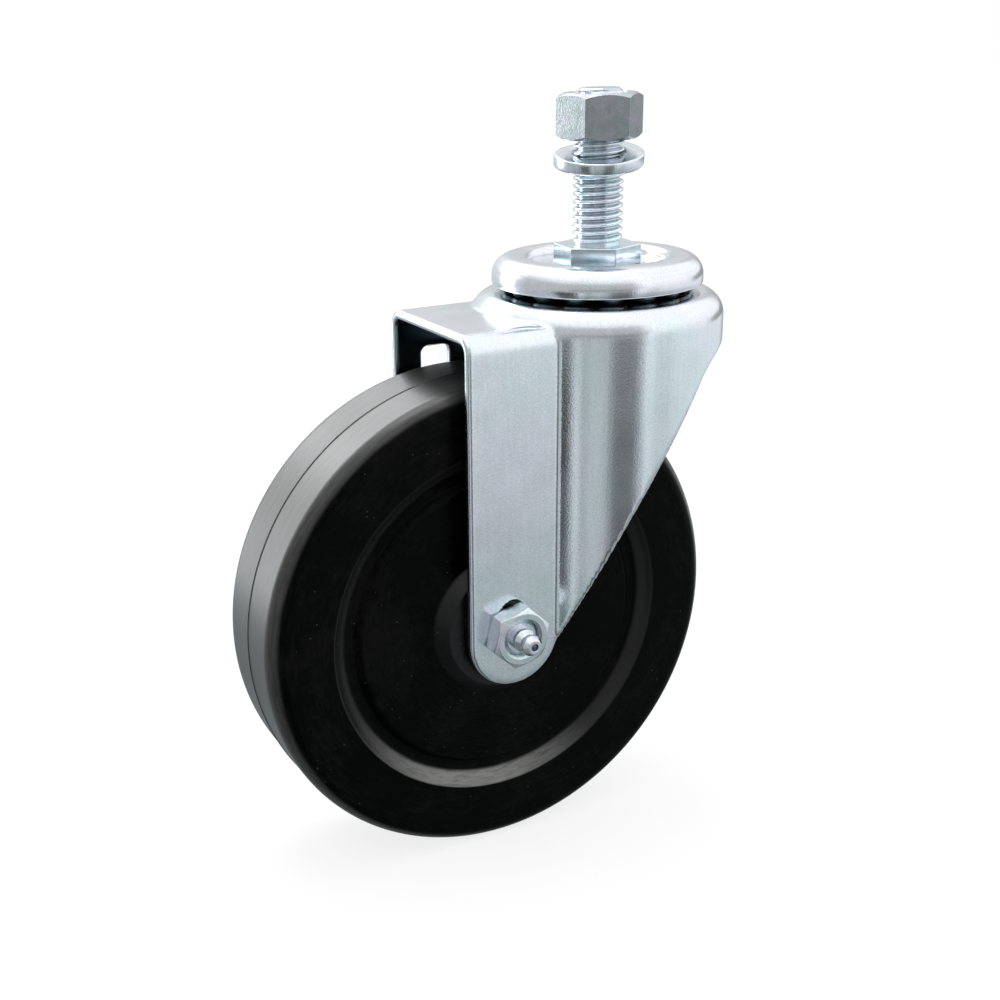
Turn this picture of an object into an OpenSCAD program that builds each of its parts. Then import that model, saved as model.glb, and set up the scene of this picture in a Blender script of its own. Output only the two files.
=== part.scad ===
// Swivel castor on a half-inch threaded stem, with a five-inch hard rubber wheel.
// Millimetres, +Z up. The origin is where the stem's axis meets its shoulder,
// the face that is drawn up under the furniture. The wheel trails towards -X.

/* [Stem] */
// Outside diameter of the threaded stem
stem_d = 12.7; // [9:0.1:14]
// Length of the stem above its shoulder
stem_len = 38.1; // [34:0.5:60]
// Chamfer on the stem's end
stem_chamfer = 1.3; // [0.6:0.1:1.8]
// Hexagon collar under the stem, across its flats
collar_af = 19.4; // [16:0.1:24]
// Height of the hexagon collar
collar_h = 4.9; // [3:0.1:8]
// How far the collar's corners are turned about the stem
collar_turn = 22; // [0:1:59]
// Kingpin between the two races
kingpin_d = 14; // [10:0.1:15]
// Tenon of the kingpin that carries the lower race
tenon_d = 12; // [8:0.1:13]
// Peened head on the tenon
rivet_d = 17; // [15:0.1:20]
// Height of the peened head
rivet_h = 3; // [2:0.1:4]

/* [Stem nut] */
// Nut across its flats
nut_af = 19.05; // [17:0.05:24]
// Height of the nut
nut_h = 11.1; // [8:0.1:11.5]
// How far below the stem's end the nut's top lies
nut_below_end = 1.1; // [0.5:0.1:6]
// How far the nut's corners are turned about the stem
nut_turn = 39; // [0:1:59]

/* [Lock washer] */
// Hole of the split washer
washer_bore_d = 13.5; // [13.3:0.05:15]
// Outside diameter of the split washer
washer_od = 22.6; // [20:0.1:26]
// Thickness of the washer's wire
washer_t = 3.1; // [2:0.1:3.6]
// How far one end of the wire springs above the other
washer_rise = 1.2; // [0:0.1:2]
// Width of the split
washer_split = 1.2; // [0.6:0.1:3]
// Height of the washer's middle below the nut
washer_drop = 5.3; // [4.8:0.1:10]
// Tilt at which the loose washer hangs on the thread
washer_tilt = 7; // [0:0.5:7]
// Bearing of the washer's low side about the stem
washer_low_angle = -114; // [-180:1:180]

/* [Upper race] */
// Thickness of its skirt outside the row of balls
cap_skirt = 2.21; // [2.15:0.01:3.2]
// Thickness of its sheet
cap_t = 2.2; // [1.8:0.1:2.4]
// How far its rim reaches below the collar
cap_rim_drop = 4.7; // [4.2:0.1:5.5]
// How far its ridge stands above the collar's underside
cap_ridge = 2.3; // [1.8:0.1:2.5]
// Radius of its rounded shoulder
cap_shoulder = 5; // [4.4:0.1:5.4]
// Radius of the dished floor round the collar
cap_floor_r = 17.2; // [14:0.1:17.6]

/* [Ball bearings] */
// Ball of the upper row
upper_ball_d = 7.94; // [7.6:0.02:8]
// Radius of the upper row
upper_row_r = 20.8; // [20.6:0.05:20.9]
// Balls in the upper row
upper_balls_n = 16; // [8:1:16]
// Ball of the lower row
lower_ball_d = 4.76; // [4.2:0.02:4.8]
// Radius of the lower row
lower_row_r = 12.6; // [12.5:0.05:12.8]
// Balls in the lower row
lower_balls_n = 16; // [8:1:16]
// Gap between a ball and its track
ball_gap = 0.07; // [0.03:0.01:0.1]
// Outside radius of the lower race
lower_race_r = 17.2; // [16.5:0.1:19]
// Thickness of the lower race
lower_race_t = 2.2; // [1.8:0.1:2.6]

/* [Fork] */
// Thickness of the pressed sheet
sheet = 2.5; // [2.2:0.1:3]
// Flat rim between the track of the upper balls and the crown's rounded edge
crown_rim = 1.66; // [0.7:0.01:5]
// Drop from the shoulder to the top of the crown
crown_drop = 11.6; // [11.4:0.1:12]
// Radius of the crown's rounded edge
crown_edge = 6; // [4.5:0.1:6.5]
// Drop from the shoulder to the lower edge of the crown's front
apron_drop = 25.2; // [22:0.1:30]
// Drop from the crown's top to the bridge between the legs
bridge_drop = 3.4; // [1:0.1:5]
// Outside radius of the bend between bridge and leg
bend_r = 4.6; // [3.4:0.1:6]
// Clear width between the legs
fork_gap = 38.5; // [37.5:0.1:42]
// Distance from the swivel axis back to the legs' rear edge
rear_x = 49; // [46:0.1:54]
// Radius of the leg's round end
leg_end_r = 12.8; // [11:0.1:13.6]
// How far the round end's centre lies ahead of the axle
leg_end_ahead = 0.8; // [0:0.1:2]
// How far the round end's centre lies below the axle
leg_end_below = 2.3; // [0:0.1:4]
// Radius of the long sweep of the leg's front edge
sweep_r = 800; // [200:5:1200]
// Where the sweep meets the crown's lower edge, ahead of the swivel axis
sweep_start = 16.5; // [12:0.1:20]
// Fillet between the sweep and the crown's lower edge
sweep_fillet = 6; // [2:0.5:10]
// Angle between the leg and the flat pressed into the wing beside it
wing_turn = 18; // [10:1:26]
// How far that flat leans in towards its lower end
wing_lean = 4.3; // [2:0.1:7]
// How far outside the crown's side that flat starts, at the shoulder's height
wing_gap = 2; // [1.4:0.1:3.5]
// Width of the window in the far leg
window_w = 8; // [5:0.1:12]
// Height of the window in the far leg
window_h = 9; // [5:0.1:14]
// Corner radius of the window
window_r = 1.5; // [0.5:0.1:2.4]
// Drop from the top of the bridge to the top of the window
window_drop = 11; // [8:0.1:16]

/* [Axle] */
// Horizontal distance from the swivel axis back to the axle
trail = 37; // [34:0.1:38]
// Gap between the tread and the underside of the bridge
tread_gap = 11.1; // [6:0.1:20]
// Diameter of the axle bolt
axle_d = 9.53; // [8:0.01:10]
// Nut and bolt head across their flats
axle_af = 14.29; // [13:0.01:17]
// Height of the axle nut
axle_nut_h = 5.56; // [4.5:0.01:8.3]
// Height of the axle bolt's head
axle_head_h = 6.2; // [4:0.1:8]
// How far the bolt's end lies inside the nut
axle_recess = 1; // [0.2:0.1:2]
// How far the axle nut's corners are turned
axle_nut_turn = 17; // [0:1:59]
// Slack of the axle's holes in the legs, on the radius
axle_slack = 0.15; // [0.05:0.01:0.3]
// Radius of the notch above the axle's hole
notch_r = 3.2; // [2:0.1:4]
// Height of the notch's centre above the axle
notch_up = 4.9; // [3.5:0.1:6]
// Grease way along the bolt
grease_way_d = 3; // [2:0.1:3.4]
// Outside diameter of the spanner bushing
bushing_d = 12.7; // [12:0.1:14]
// Thickness of each thrust washer
thrust_t = 0.9; // [0.5:0.1:1.5]
// Outside diameter of each thrust washer
thrust_d = 22.6; // [20:0.2:24]

/* [Grease nipple] */
// Shank of the nipple in the bolt's end
nipple_shank_d = 5.2; // [4.6:0.1:5.6]
// Base of the nipple
nipple_base_d = 6.2; // [5.8:0.1:7.5]
// Neck of the nipple
nipple_neck_d = 4.2; // [3.8:0.1:4.6]
// Head of the nipple
nipple_head_d = 5.4; // [5:0.1:6]
// Length of the nipple that stands out of the bolt
nipple_out = 6.8; // [6.2:0.1:9]
// Check ball inside the nipple
nipple_ball_d = 2.6; // [2:0.05:2.8]

/* [Wheel] */
// Wheel diameter over the moulding line
wheel_d = 127; // [120:0.5:128]
// Width of the tread
wheel_w = 31.75; // [28:0.05:33]
// Radius of the tread's shoulders
tread_shoulder = 4.5; // [2:0.1:6]
// Height of the moulding line round the tread
seam_h = 0.2; // [0.1:0.05:0.4]
// Width of the moulding line
seam_w = 0.5; // [0.3:0.1:1]
// Outer radius of the groove in the wheel's face
groove_r = 46.3; // [44:0.1:54]
// Width of the groove
groove_w = 7.7; // [7.2:0.1:12]
// Depth of the groove below the wheel's face
groove_depth = 3; // [2:0.1:4]
// Radius of the hollow curve of the groove's outer side
groove_curve = 6; // [5:0.1:6.6]
// Depth of the web below the wheel's face
web_depth = 0.9; // [0.2:0.1:1.8]
// Radius of the hub boss at the web
hub_base_r = 19.3; // [18.5:0.1:24]
// Radius of the hub boss at its face
hub_face_r = 16.2; // [16:0.1:18]
// Gap between the hub and a thrust washer
hub_gap = 0.15; // [0.05:0.01:0.4]

/* [Roller bearing] */
// Diameter of a roller
roller_d = 4.7; // [4.2:0.1:4.8]
// Number of rollers
rollers_n = 9; // [5:1:9]
// Length of a roller
roller_len = 26; // [18:0.5:29]
// Gap between a roller and its tracks
roller_gap = 0.06; // [0.03:0.01:0.1]
// Thickness of the cup pressed into the hub
cup_t = 2.2; // [1.5:0.1:2.6]
// Thickness of the cage's end rings
cage_end_t = 1.2; // [0.8:0.1:1.8]

/* [Hidden] */
$fn = 96;

zinc = [0.78, 0.80, 0.84];
dark_zinc = [0.62, 0.66, 0.70];
bright_steel = [0.86, 0.87, 0.89];
rubber = [0.09, 0.09, 0.10];

fit = 0.03;              // radial gap of pieces that are pressed together
slip = 0.05;             // radial gap of pieces that slide or screw over one another
eps = 0.01;              // overshoot of a cut past the face it goes through
over = 1;                // overshoot where more room is free
reach = 200;             // longer than any cut has to be
chamfer_angle = 30;      // slope of the chamfer on a nut's corners
split_angle = 180;       // from the washer's low side round to its split
face_share = 0.475;      // radius of a nut's round face, as a share of its width
lower_row_sink = 1.5;    // from the crown's underside down to the lower row's middle
lower_race_sink = 1.1;   // from there down to the flat of the lower race
lower_race_lip = 0.8;    // upturned edge of the lower race
peen_room = 0.4;         // room between the rivet's dome and the lower race's track
countersink = 0.12;      // slope at the ends of a nut's bore, as a share of its radius
crown_lip = 1;           // sheet left between the lower track and the kingpin's hole
dome_share = 0.62;       // radius of the rivet's dome, as a share of its width
bolt_chamfer = 0.8;      // chamfer on the axle bolt's end
bolt_head_turn = 8;      // how far the bolt head's corners are turned
grease_hole_d = 2;       // cross hole from the grease way to the rollers
shank_len = 5;           // length of the nipple inside the bolt
nipple_flange_h = 2;     // height of the flange at the nipple's foot
nipple_head_low = 2.2;   // from the nipple's tip back to its head's full width
nipple_head_high = 1.4;  // from the tip back to where the head tapers in again
nipple_neck_len = 0.3;   // straight part of the nipple's neck
nipple_neck_slope = 0.7; // height of the slope from the neck out to the head
nipple_face_share = 0.68; // radius of the nipple's tip, as a share of its head's
nipple_mouth = 0.5;      // depth of the nipple's mouth in front of its ball
nipple_ball_slack = 0.02; // radial gap between the ball and its chamber's mouth
ball_seat_share = 0.74;  // width of the mouth, as a share of the ball's
spring_wire_r = 0.16;    // wire of the nipple's spring
hub_chamfer = 0.9;       // chamfer round the hub's face and its bore
groove_flank = 1.6;      // width of the slope from the web into the groove
cage_bar = 1.4;          // depth of the bars between the rollers
cage_gap = 0.5;          // radial gap of the cage's rings to both tracks
cage_pocket_gap = 0.15;  // gap between a roller and its pocket

// Heights on the swivel axis
cap_floor_z = -collar_h;
cap_ridge_z = cap_floor_z + cap_ridge;
cap_rim_z = cap_floor_z - cap_rim_drop;
crown_z = -crown_drop;
crown_under_z = crown_z - sheet;
upper_row_z = cap_ridge_z - cap_t - upper_ball_d / 2 - ball_gap;
upper_track = upper_ball_d / 2 + ball_gap;
track_out_r = upper_row_r + upper_track;
cap_r = track_out_r + cap_skirt;
crown_r = track_out_r + crown_rim + crown_edge;
wing_out = crown_r + wing_gap;
lower_track = lower_ball_d / 2 + ball_gap;
lower_row_z = crown_under_z - lower_row_sink;
lower_race_z = lower_row_z - lower_race_sink;
crown_hole_r = lower_row_r - lower_track - crown_lip;
nut_z = stem_len - nut_below_end - nut_h;

// Places of the legs, the axle and the wheel
bridge_z = crown_z - bridge_drop;
leg_y = fork_gap / 2 + sheet;
wheel_r = wheel_d / 2;
axle_x = -trail;
axle_z = bridge_z - sheet - tread_gap - wheel_r;
leg_end = [axle_x + leg_end_ahead, axle_z - leg_end_below];
bolt_end = leg_y + axle_nut_h - axle_recess;
hub_half = fork_gap / 2 - thrust_t - hub_gap;
nipple_tip = bolt_end + nipple_out;
mouth_r = nipple_ball_d * ball_seat_share / 2;
nipple_ball_z = nipple_tip - nipple_mouth - sqrt(pow(nipple_ball_d / 2, 2) - pow(mouth_r, 2));
roller_row_r = bushing_d / 2 + roller_gap + roller_d / 2;
cup_bore_r = roller_row_r + roller_d / 2 + roller_gap;
cup_r = cup_bore_r + cup_t;
cup_len = roller_len + 2 * (cage_end_t + cage_gap);

// Puts its children on the axle: their +Z points out of the near side, their +Y up
module on_axle() {
    translate([axle_x, 0, axle_z]) rotate([90, 0, 0]) children();
}

// Plain hexagon block standing on z = 0, af across its flats
module hexagon_block(af, h, turn) {
    rotate([0, 0, turn]) cylinder(r = af / sqrt(3), h = h, $fn = 6);
}

// Turned form that takes the corners off a hexagon, at its top, bottom or both
module chamfer_disc(af, h, top, bottom) {
    corner = af / sqrt(3) + eps;
    flat_r = af * face_share;
    rise = (corner - flat_r) * tan(chamfer_angle);
    rotate_extrude() polygon([
        [0, 0],
        [bottom ? flat_r : corner, 0],
        [corner, bottom ? rise : 0],
        [corner, top ? h - rise : h],
        [top ? flat_r : corner, h],
        [0, h]
    ]);
}

// Hexagon with chamfered corners, standing on z = 0
module hexagon(af, h, turn, top = true, bottom = true) {
    intersection() {
        hexagon_block(af, h, turn);
        chamfer_disc(af, h, top, bottom);
    }
}

// Nut with a countersunk bore
module nut(af, h, turn, bore_r) {
    sink = bore_r * countersink;
    difference() {
        hexagon(af, h, turn);
        translate([0, 0, -eps]) cylinder(r = bore_r, h = h + 2 * eps);
        translate([0, 0, -eps]) cylinder(r1 = bore_r + sink + eps, r2 = bore_r, h = sink + eps);
        translate([0, 0, h - sink]) cylinder(r1 = bore_r, r2 = bore_r + sink + eps, h = sink + eps);
    }
}

// Ring of balls
module ball_row(n, d, row_r, z) {
    for (i = [0 : n - 1]) {
        rotate([0, 0, i * 360 / n]) translate([row_r, 0, z]) sphere(d = d, $fn = 48);
    }
}

// Solid swept from ring to ring, each ring a list of points in the same order
module skin_rings(rings) {
    n = len(rings);
    m = len(rings[0]);
    sides = [
        for (i = [0 : n - 2], j = [0 : m - 1])
        [i * m + j, i * m + (j + 1) % m, (i + 1) * m + (j + 1) % m, (i + 1) * m + j]
    ];
    first = [for (j = [m - 1 : -1 : 0]) j];
    last = [for (j = [0 : m - 1]) (n - 1) * m + j];
    polyhedron(points = [for (r = rings, p = r) p], faces = concat([first], sides, [last]));
}

// Stem, collar and kingpin: one turned piece, peened over under the lower race
module stem() {
    stem_r = stem_d / 2;
    tenon_z = lower_race_z - lower_race_t;
    color(zinc) union() {
        cylinder(r = stem_r, h = stem_len - stem_chamfer);
        translate([0, 0, stem_len - stem_chamfer])
            cylinder(r1 = stem_r, r2 = stem_r - stem_chamfer, h = stem_chamfer);
        translate([0, 0, -collar_h]) hexagon_block(collar_af, collar_h, collar_turn);
        translate([0, 0, lower_race_z])
            cylinder(r = kingpin_d / 2, h = -collar_h - lower_race_z + eps);
        translate([0, 0, tenon_z - eps])
            cylinder(r = tenon_d / 2, h = lower_race_t + 2 * eps);
        translate([0, 0, tenon_z]) rivet_head();
    }
}

// Domed head under z = 0
module rivet_head() {
    dome = rivet_d * dome_share;
    intersection() {
        translate([0, 0, -rivet_h]) cylinder(d = rivet_d, h = rivet_h);
        translate([0, 0, dome - rivet_h]) sphere(r = dome);
    }
}

// Half section of the upper race, in radius and height: a dished floor, a
// ridge rounded on both sides, and a rim, with the ball track inside them
module upper_race_section() {
    ridge_in = [cap_floor_r + cap_ridge, cap_floor_z];
    ridge_out = [cap_r - cap_shoulder, cap_ridge_z - cap_shoulder];
    difference() {
        union() {
            square_span(0, cap_floor_z - cap_t, ridge_in[0], cap_floor_z);
            square_span(cap_floor_r, cap_rim_z, ridge_in[0], cap_floor_z);
            translate(ridge_in) circle(r = cap_ridge);
            square_span(ridge_in[0], cap_rim_z, ridge_out[0], cap_ridge_z);
            translate(ridge_out) circle(r = cap_shoulder);
            square_span(ridge_out[0], cap_rim_z, cap_r, ridge_out[1]);
        }
        translate([upper_row_r, upper_row_z]) circle(r = upper_track);
        square_span(-over, cap_rim_z - over, upper_row_r, cap_floor_z - cap_t);
        square_span(-over, cap_rim_z - over, track_out_r, upper_row_z);
        square_span(-over, cap_rim_z - reach, reach, cap_rim_z);
        square_span(-over, cap_rim_z, kingpin_d / 2 + fit, cap_ridge_z + over);
    }
}

// Rectangle between two corners
module square_span(x0, y0, x1, y1) {
    translate([x0, y0]) square([x1 - x0, y1 - y0]);
}

module upper_race() {
    color(zinc) rotate_extrude() upper_race_section();
}

// Pressed ring under the crown that carries the lower row of balls
module lower_race() {
    peen_clear_r = rivet_d / 2 + peen_room;
    color(dark_zinc) rotate_extrude() difference() {
        union() {
            square_span(0, lower_race_z - lower_race_t, lower_race_r, lower_race_z);
            square_span(
                lower_race_r - lower_race_t, lower_race_z - eps,
                lower_race_r, lower_race_z + lower_race_lip
            );
            intersection() {
                translate([lower_row_r, lower_row_z]) circle(r = lower_track + lower_race_t);
                square_span(peen_clear_r, lower_race_z - reach, lower_race_r, lower_race_z);
            }
        }
        translate([lower_row_r, lower_row_z]) circle(r = lower_track);
        square_span(-over, lower_race_z - reach, tenon_d / 2 + fit, lower_race_z + over);
    }
}

module upper_balls() {
    color(bright_steel) ball_row(upper_balls_n, upper_ball_d, upper_row_r, upper_row_z);
}

module lower_balls() {
    color(bright_steel) ball_row(lower_balls_n, lower_ball_d, lower_row_r, lower_row_z);
}

module stem_nut() {
    color(zinc) translate([0, 0, nut_z]) nut(nut_af, nut_h, nut_turn, stem_d / 2 + slip);
}

// One turn of square wire, sprung open at its split
module lock_washer() {
    steps = 48;
    mean_r = (washer_bore_d + washer_od) / 4;
    half_w = (washer_od - washer_bore_d) / 4;
    half_split = asin(washer_split / 2 / mean_r);
    rings = [
        for (i = [0 : steps])
        let (s = i / steps, a = half_split + s * (360 - 2 * half_split), lift = (s - 0.5) * washer_rise)
        [
            for (c = [[-1, -1], [1, -1], [1, 1], [-1, 1]])
            [
                (mean_r + c[0] * half_w) * cos(a),
                (mean_r + c[0] * half_w) * sin(a),
                c[1] * washer_t / 2 + lift
            ]
        ]
    ];
    color(zinc) translate([0, 0, nut_z - washer_drop])
        rotate([0, 0, washer_low_angle]) rotate([0, washer_tilt, 0])
        rotate([0, 0, split_angle]) skin_rings(rings);
}

// Outside of the fork, or its inside when inset by the sheet: a round crown
// with a rounded edge, pressed flat at the wings, and behind it a channel that
// makes the bridge and legs
module fork_form(inset) {
    low = leg_end[1] - leg_end_r - over;
    core_r = track_out_r + crown_rim;
    edge_z = crown_z - crown_edge;
    union() {
        difference() {
            translate([0, 0, low]) cylinder(r = crown_r - inset, h = edge_z - low);
            wing_flats(inset);
        }
        rotate_extrude() union() {
            square_span(0, edge_z - over, core_r, crown_z - inset);
            intersection() {
                translate([core_r, edge_z]) circle(r = crown_edge - inset);
                square_span(0, edge_z - over, crown_r, crown_z);
            }
        }
        translate([-rear_x - inset, 0, 0]) rotate([90, 0, 90]) linear_extrude(rear_x + inset) union() {
            square_span(inset - leg_y, low, leg_y - inset, bridge_z - bend_r);
            square_span(bend_r - leg_y, low, leg_y - bend_r, bridge_z - inset);
            for (s = [-1, 1]) {
                translate([s * (leg_y - bend_r), bridge_z - bend_r]) circle(r = bend_r - inset);
            }
        }
    }
}

// What lies outside the flats pressed into the two wings
module wing_flats(inset) {
    for (s = [-1, 1]) {
        rotate([0, 0, s * (90 + wing_turn)]) rotate([0, wing_lean, 0])
            translate([wing_out - inset, -reach / 2, -reach]) cube([reach, reach, 2 * reach]);
    }
}

// Centre of the circle of radius r that passes through p and touches, from
// outside, the circle of radius q round c, on the side that lies ahead and below
function sweep_centre(c, q, p, r) =
    let (
        d = norm(p - c),
        u = (p - c) / d,
        along = ((r + q) * (r + q) - r * r + d * d) / (2 * d),
        aside = sqrt((r + q) * (r + q) - along * along)
    )
    c + along * u + aside * [u[1], -u[0]];

// The space ahead of the legs and below the crown, seen from the side
module front_clearance() {
    corner = [sweep_start, -apron_drop];
    centre = sweep_centre(leg_end, leg_end_r, corner, sweep_r);
    f = sweep_fillet;
    fz = -apron_drop - f;
    run = sqrt(pow(sweep_r - f, 2) - pow(fz - centre[1], 2));
    fillet = [centre[0] - run, fz];
    touch = centre + (fillet - centre) * sweep_r / (sweep_r - f);
    bottom = leg_end + (centre - leg_end) * leg_end_r / norm(centre - leg_end);
    difference() {
        intersection() {
            translate(centre) circle(r = sweep_r, $fn = 360);
            polygon([
                bottom, [axle_x, -apron_drop], [reach, -apron_drop],
                [reach, bottom[1] - reach], bottom + [0, -reach]
            ]);
        }
        polygon([
            touch, corner + [-over, over], [fillet[0], -apron_drop + over],
            [fillet[0], -apron_drop], fillet
        ]);
    }
    translate(fillet) circle(r = f);
}

// Outline of the fork seen from the side
module fork_side() {
    centre = sweep_centre(leg_end, leg_end_r, [sweep_start, -apron_drop], sweep_r);
    tangent = leg_end + (centre - leg_end) * leg_end_r / norm(centre - leg_end);
    union() {
        difference() {
            polygon([
                [-rear_x, 0], [crown_r + over, 0], [crown_r + over, tangent[1]], tangent,
                leg_end, [-rear_x, leg_end[1]]
            ]);
            front_clearance();
        }
        translate(leg_end) circle(r = leg_end_r);
        square_span(-rear_x, leg_end[1], leg_end[0], 0);
    }
}

// Tracks and kingpin hole pressed into the crown, as the sheet's half section
module crown_section() {
    difference() {
        union() {
            square_span(0, crown_under_z, track_out_r + crown_rim, crown_z);
            intersection() {
                translate([upper_row_r, upper_row_z]) circle(r = upper_track + sheet);
                square_span(0, crown_under_z - reach, track_out_r + crown_rim, crown_under_z + eps);
            }
            intersection() {
                translate([lower_row_r, lower_row_z]) circle(r = lower_track + sheet);
                square_span(0, crown_z - eps, track_out_r + crown_rim, crown_z + reach);
            }
        }
        translate([upper_row_r, upper_row_z]) circle(r = upper_track);
        translate([lower_row_r, lower_row_z]) circle(r = lower_track);
        square_span(-over, crown_under_z - reach, crown_hole_r, crown_z + reach);
    }
}

// One pressed sheet: crown, bridge, two legs and the swept wings between them
module fork() {
    legs_y = leg_y + over;
    color(zinc) difference() {
        union() {
            intersection() {
                difference() {
                    fork_form(0);
                    fork_form(sheet);
                    translate([0, 0, crown_under_z - over])
                        cylinder(r = track_out_r + eps, h = sheet + 2 * over);
                }
                rotate([90, 0, 0]) translate([0, 0, -reach / 2]) linear_extrude(reach) fork_side();
            }
            rotate_extrude() crown_section();
        }
        on_axle() translate([0, 0, -legs_y])
            cylinder(r = axle_d / 2 + axle_slack, h = 2 * legs_y);
        on_axle() translate([0, notch_up, -legs_y]) cylinder(r = notch_r, h = 2 * legs_y);
        translate([axle_x, legs_y, bridge_z - window_drop - window_h / 2])
            rotate([90, 0, 0]) linear_extrude(sheet + 2 * over) rounded_window();
    }
}

// Window outline round its own middle
module rounded_window() {
    w = window_w / 2;
    h = window_h / 2;
    square_span(-w + window_r, -h, w - window_r, h);
    square_span(-w, -h + window_r, w, h - window_r);
    for (x = [-1, 1], y = [-1, 1]) {
        translate([x * (w - window_r), y * (h - window_r)]) circle(r = window_r, $fn = 48);
    }
}

// Axle bolt from the far side, drilled for grease from its end to the rollers
module axle_bolt() {
    color(zinc) on_axle() difference() {
        union() {
            translate([0, 0, -leg_y - axle_head_h])
                hexagon(axle_af, axle_head_h, bolt_head_turn, false, true);
            translate([0, 0, -leg_y - eps])
                cylinder(d = axle_d, h = leg_y + bolt_end - bolt_chamfer + eps);
            translate([0, 0, bolt_end - bolt_chamfer])
                cylinder(d1 = axle_d, d2 = axle_d - 2 * bolt_chamfer, h = bolt_chamfer);
        }
        translate([0, 0, bolt_end - shank_len])
            cylinder(r = nipple_shank_d / 2 + fit, h = reach);
        translate([0, 0, -grease_hole_d]) cylinder(d = grease_way_d, h = reach);
        grease_hole();
    }
}

// Upright hole through the bolt and its bushing, at the middle of the rollers
module grease_hole() {
    rotate([90, 0, 0]) translate([0, 0, -reach / 2]) cylinder(d = grease_hole_d, h = reach);
}

module axle_nut() {
    color(zinc) on_axle() translate([0, 0, leg_y])
        nut(axle_af, axle_nut_h, axle_nut_turn, axle_d / 2 + slip);
}

// Grease nipple in the bolt's end, with a sprung ball behind its mouth
module grease_nipple() {
    head_r = nipple_head_d / 2;
    neck_r = nipple_neck_d / 2;
    chamber_r = nipple_ball_d / 2 + 2 * nipple_ball_slack;
    head_z = nipple_out - nipple_head_low;
    neck_z = head_z - nipple_neck_slope;
    color(bright_steel) on_axle() translate([0, 0, bolt_end]) rotate_extrude() difference() {
        polygon([
            [0, -shank_len], [nipple_shank_d / 2, -shank_len], [nipple_shank_d / 2, 0],
            [nipple_base_d / 2, 0], [nipple_base_d / 2, nipple_flange_h],
            [neck_r, neck_z - nipple_neck_len], [neck_r, neck_z],
            [head_r, head_z], [head_r, nipple_out - nipple_head_high],
            [head_r * nipple_face_share, nipple_out], [0, nipple_out]
        ]);
        square_span(-over, -shank_len - over, mouth_r, nipple_out + over);
        square_span(-over, 0, chamber_r, nipple_out - nipple_mouth);
    }
}

module nipple_ball() {
    color(bright_steel) on_axle() translate([0, 0, nipple_ball_z])
        sphere(d = nipple_ball_d - 2 * nipple_ball_slack, $fn = 48);
}

// Fine coil spring that holds the check ball against the nipple's mouth
module nipple_spring() {
    coil_r = nipple_ball_d / 2 - spring_wire_r;
    back = bolt_end + slip;
    front = nipple_ball_z - sqrt(pow(nipple_ball_d / 2, 2) - pow(coil_r, 2)) - spring_wire_r;
    turns = 5;
    steps = turns * 14;
    sides = 6;
    rise = front - back - 2 * spring_wire_r;
    rings = [
        for (i = [0 : steps])
        let (a = i * 360 * turns / steps, z = back + spring_wire_r + rise * i / steps)
        [
            for (j = [0 : sides - 1])
            let (b = -j * 360 / sides, r = coil_r + spring_wire_r * cos(b))
            [r * cos(a), r * sin(a), z + spring_wire_r * sin(b)]
        ]
    ];
    color(bright_steel) on_axle() skin_rings(rings);
}

// Steel tube that the bolt clamps between the legs, and the rollers run on
module spanner_bushing() {
    color(bright_steel) on_axle() difference() {
        translate([0, 0, -fork_gap / 2]) cylinder(d = bushing_d, h = fork_gap);
        translate([0, 0, -reach / 2]) cylinder(r = axle_d / 2 + slip, h = reach);
        grease_hole();
    }
}

// Thrust washer that lies on a leg's inner face; side is 1 near, -1 far
module thrust_washer(side) {
    z = side > 0 ? fork_gap / 2 - thrust_t : -fork_gap / 2;
    color(bright_steel) on_axle() difference() {
        translate([0, 0, z]) cylinder(d = thrust_d, h = thrust_t);
        translate([0, 0, -reach / 2]) cylinder(r = bushing_d / 2 + slip, h = reach);
    }
}

module thrust_washer_near() {
    thrust_washer(1);
}

module thrust_washer_far() {
    thrust_washer(-1);
}

// Cage: two end rings joined by the bars between the rollers
module roller_cage() {
    half = roller_len / 2 + cage_pocket_gap;
    bar_in = roller_row_r - cage_bar / 2;
    bar_out = roller_row_r + cage_bar / 2;
    ring_in = bushing_d / 2 + cage_gap;
    ring_out = cup_bore_r - cage_gap;
    color(dark_zinc) on_axle() union() {
        difference() {
            translate([0, 0, -half - eps]) cylinder(r = bar_out, h = 2 * half + 2 * eps);
            translate([0, 0, -reach / 2]) cylinder(r = bar_in, h = reach);
            for (i = [0 : rollers_n - 1]) {
                rotate([0, 0, i * 360 / rollers_n]) translate([roller_row_r, 0, -half])
                    cylinder(r = roller_d / 2 + cage_pocket_gap, h = 2 * half);
            }
        }
        for (z = [-half - cage_end_t, half]) {
            translate([0, 0, z]) difference() {
                cylinder(r = ring_out, h = cage_end_t);
                translate([0, 0, -over]) cylinder(r = ring_in, h = cage_end_t + 2 * over);
            }
        }
    }
}

module rollers() {
    color(bright_steel) on_axle() for (i = [0 : rollers_n - 1]) {
        rotate([0, 0, i * 360 / rollers_n]) translate([roller_row_r, 0, -roller_len / 2])
            cylinder(d = roller_d, h = roller_len, $fn = 48);
    }
}

module bearing_cup() {
    color(bright_steel) on_axle() difference() {
        translate([0, 0, -cup_len / 2]) cylinder(r = cup_r, h = cup_len);
        translate([0, 0, -reach / 2]) cylinder(r = cup_bore_r, h = reach);
    }
}

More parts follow.
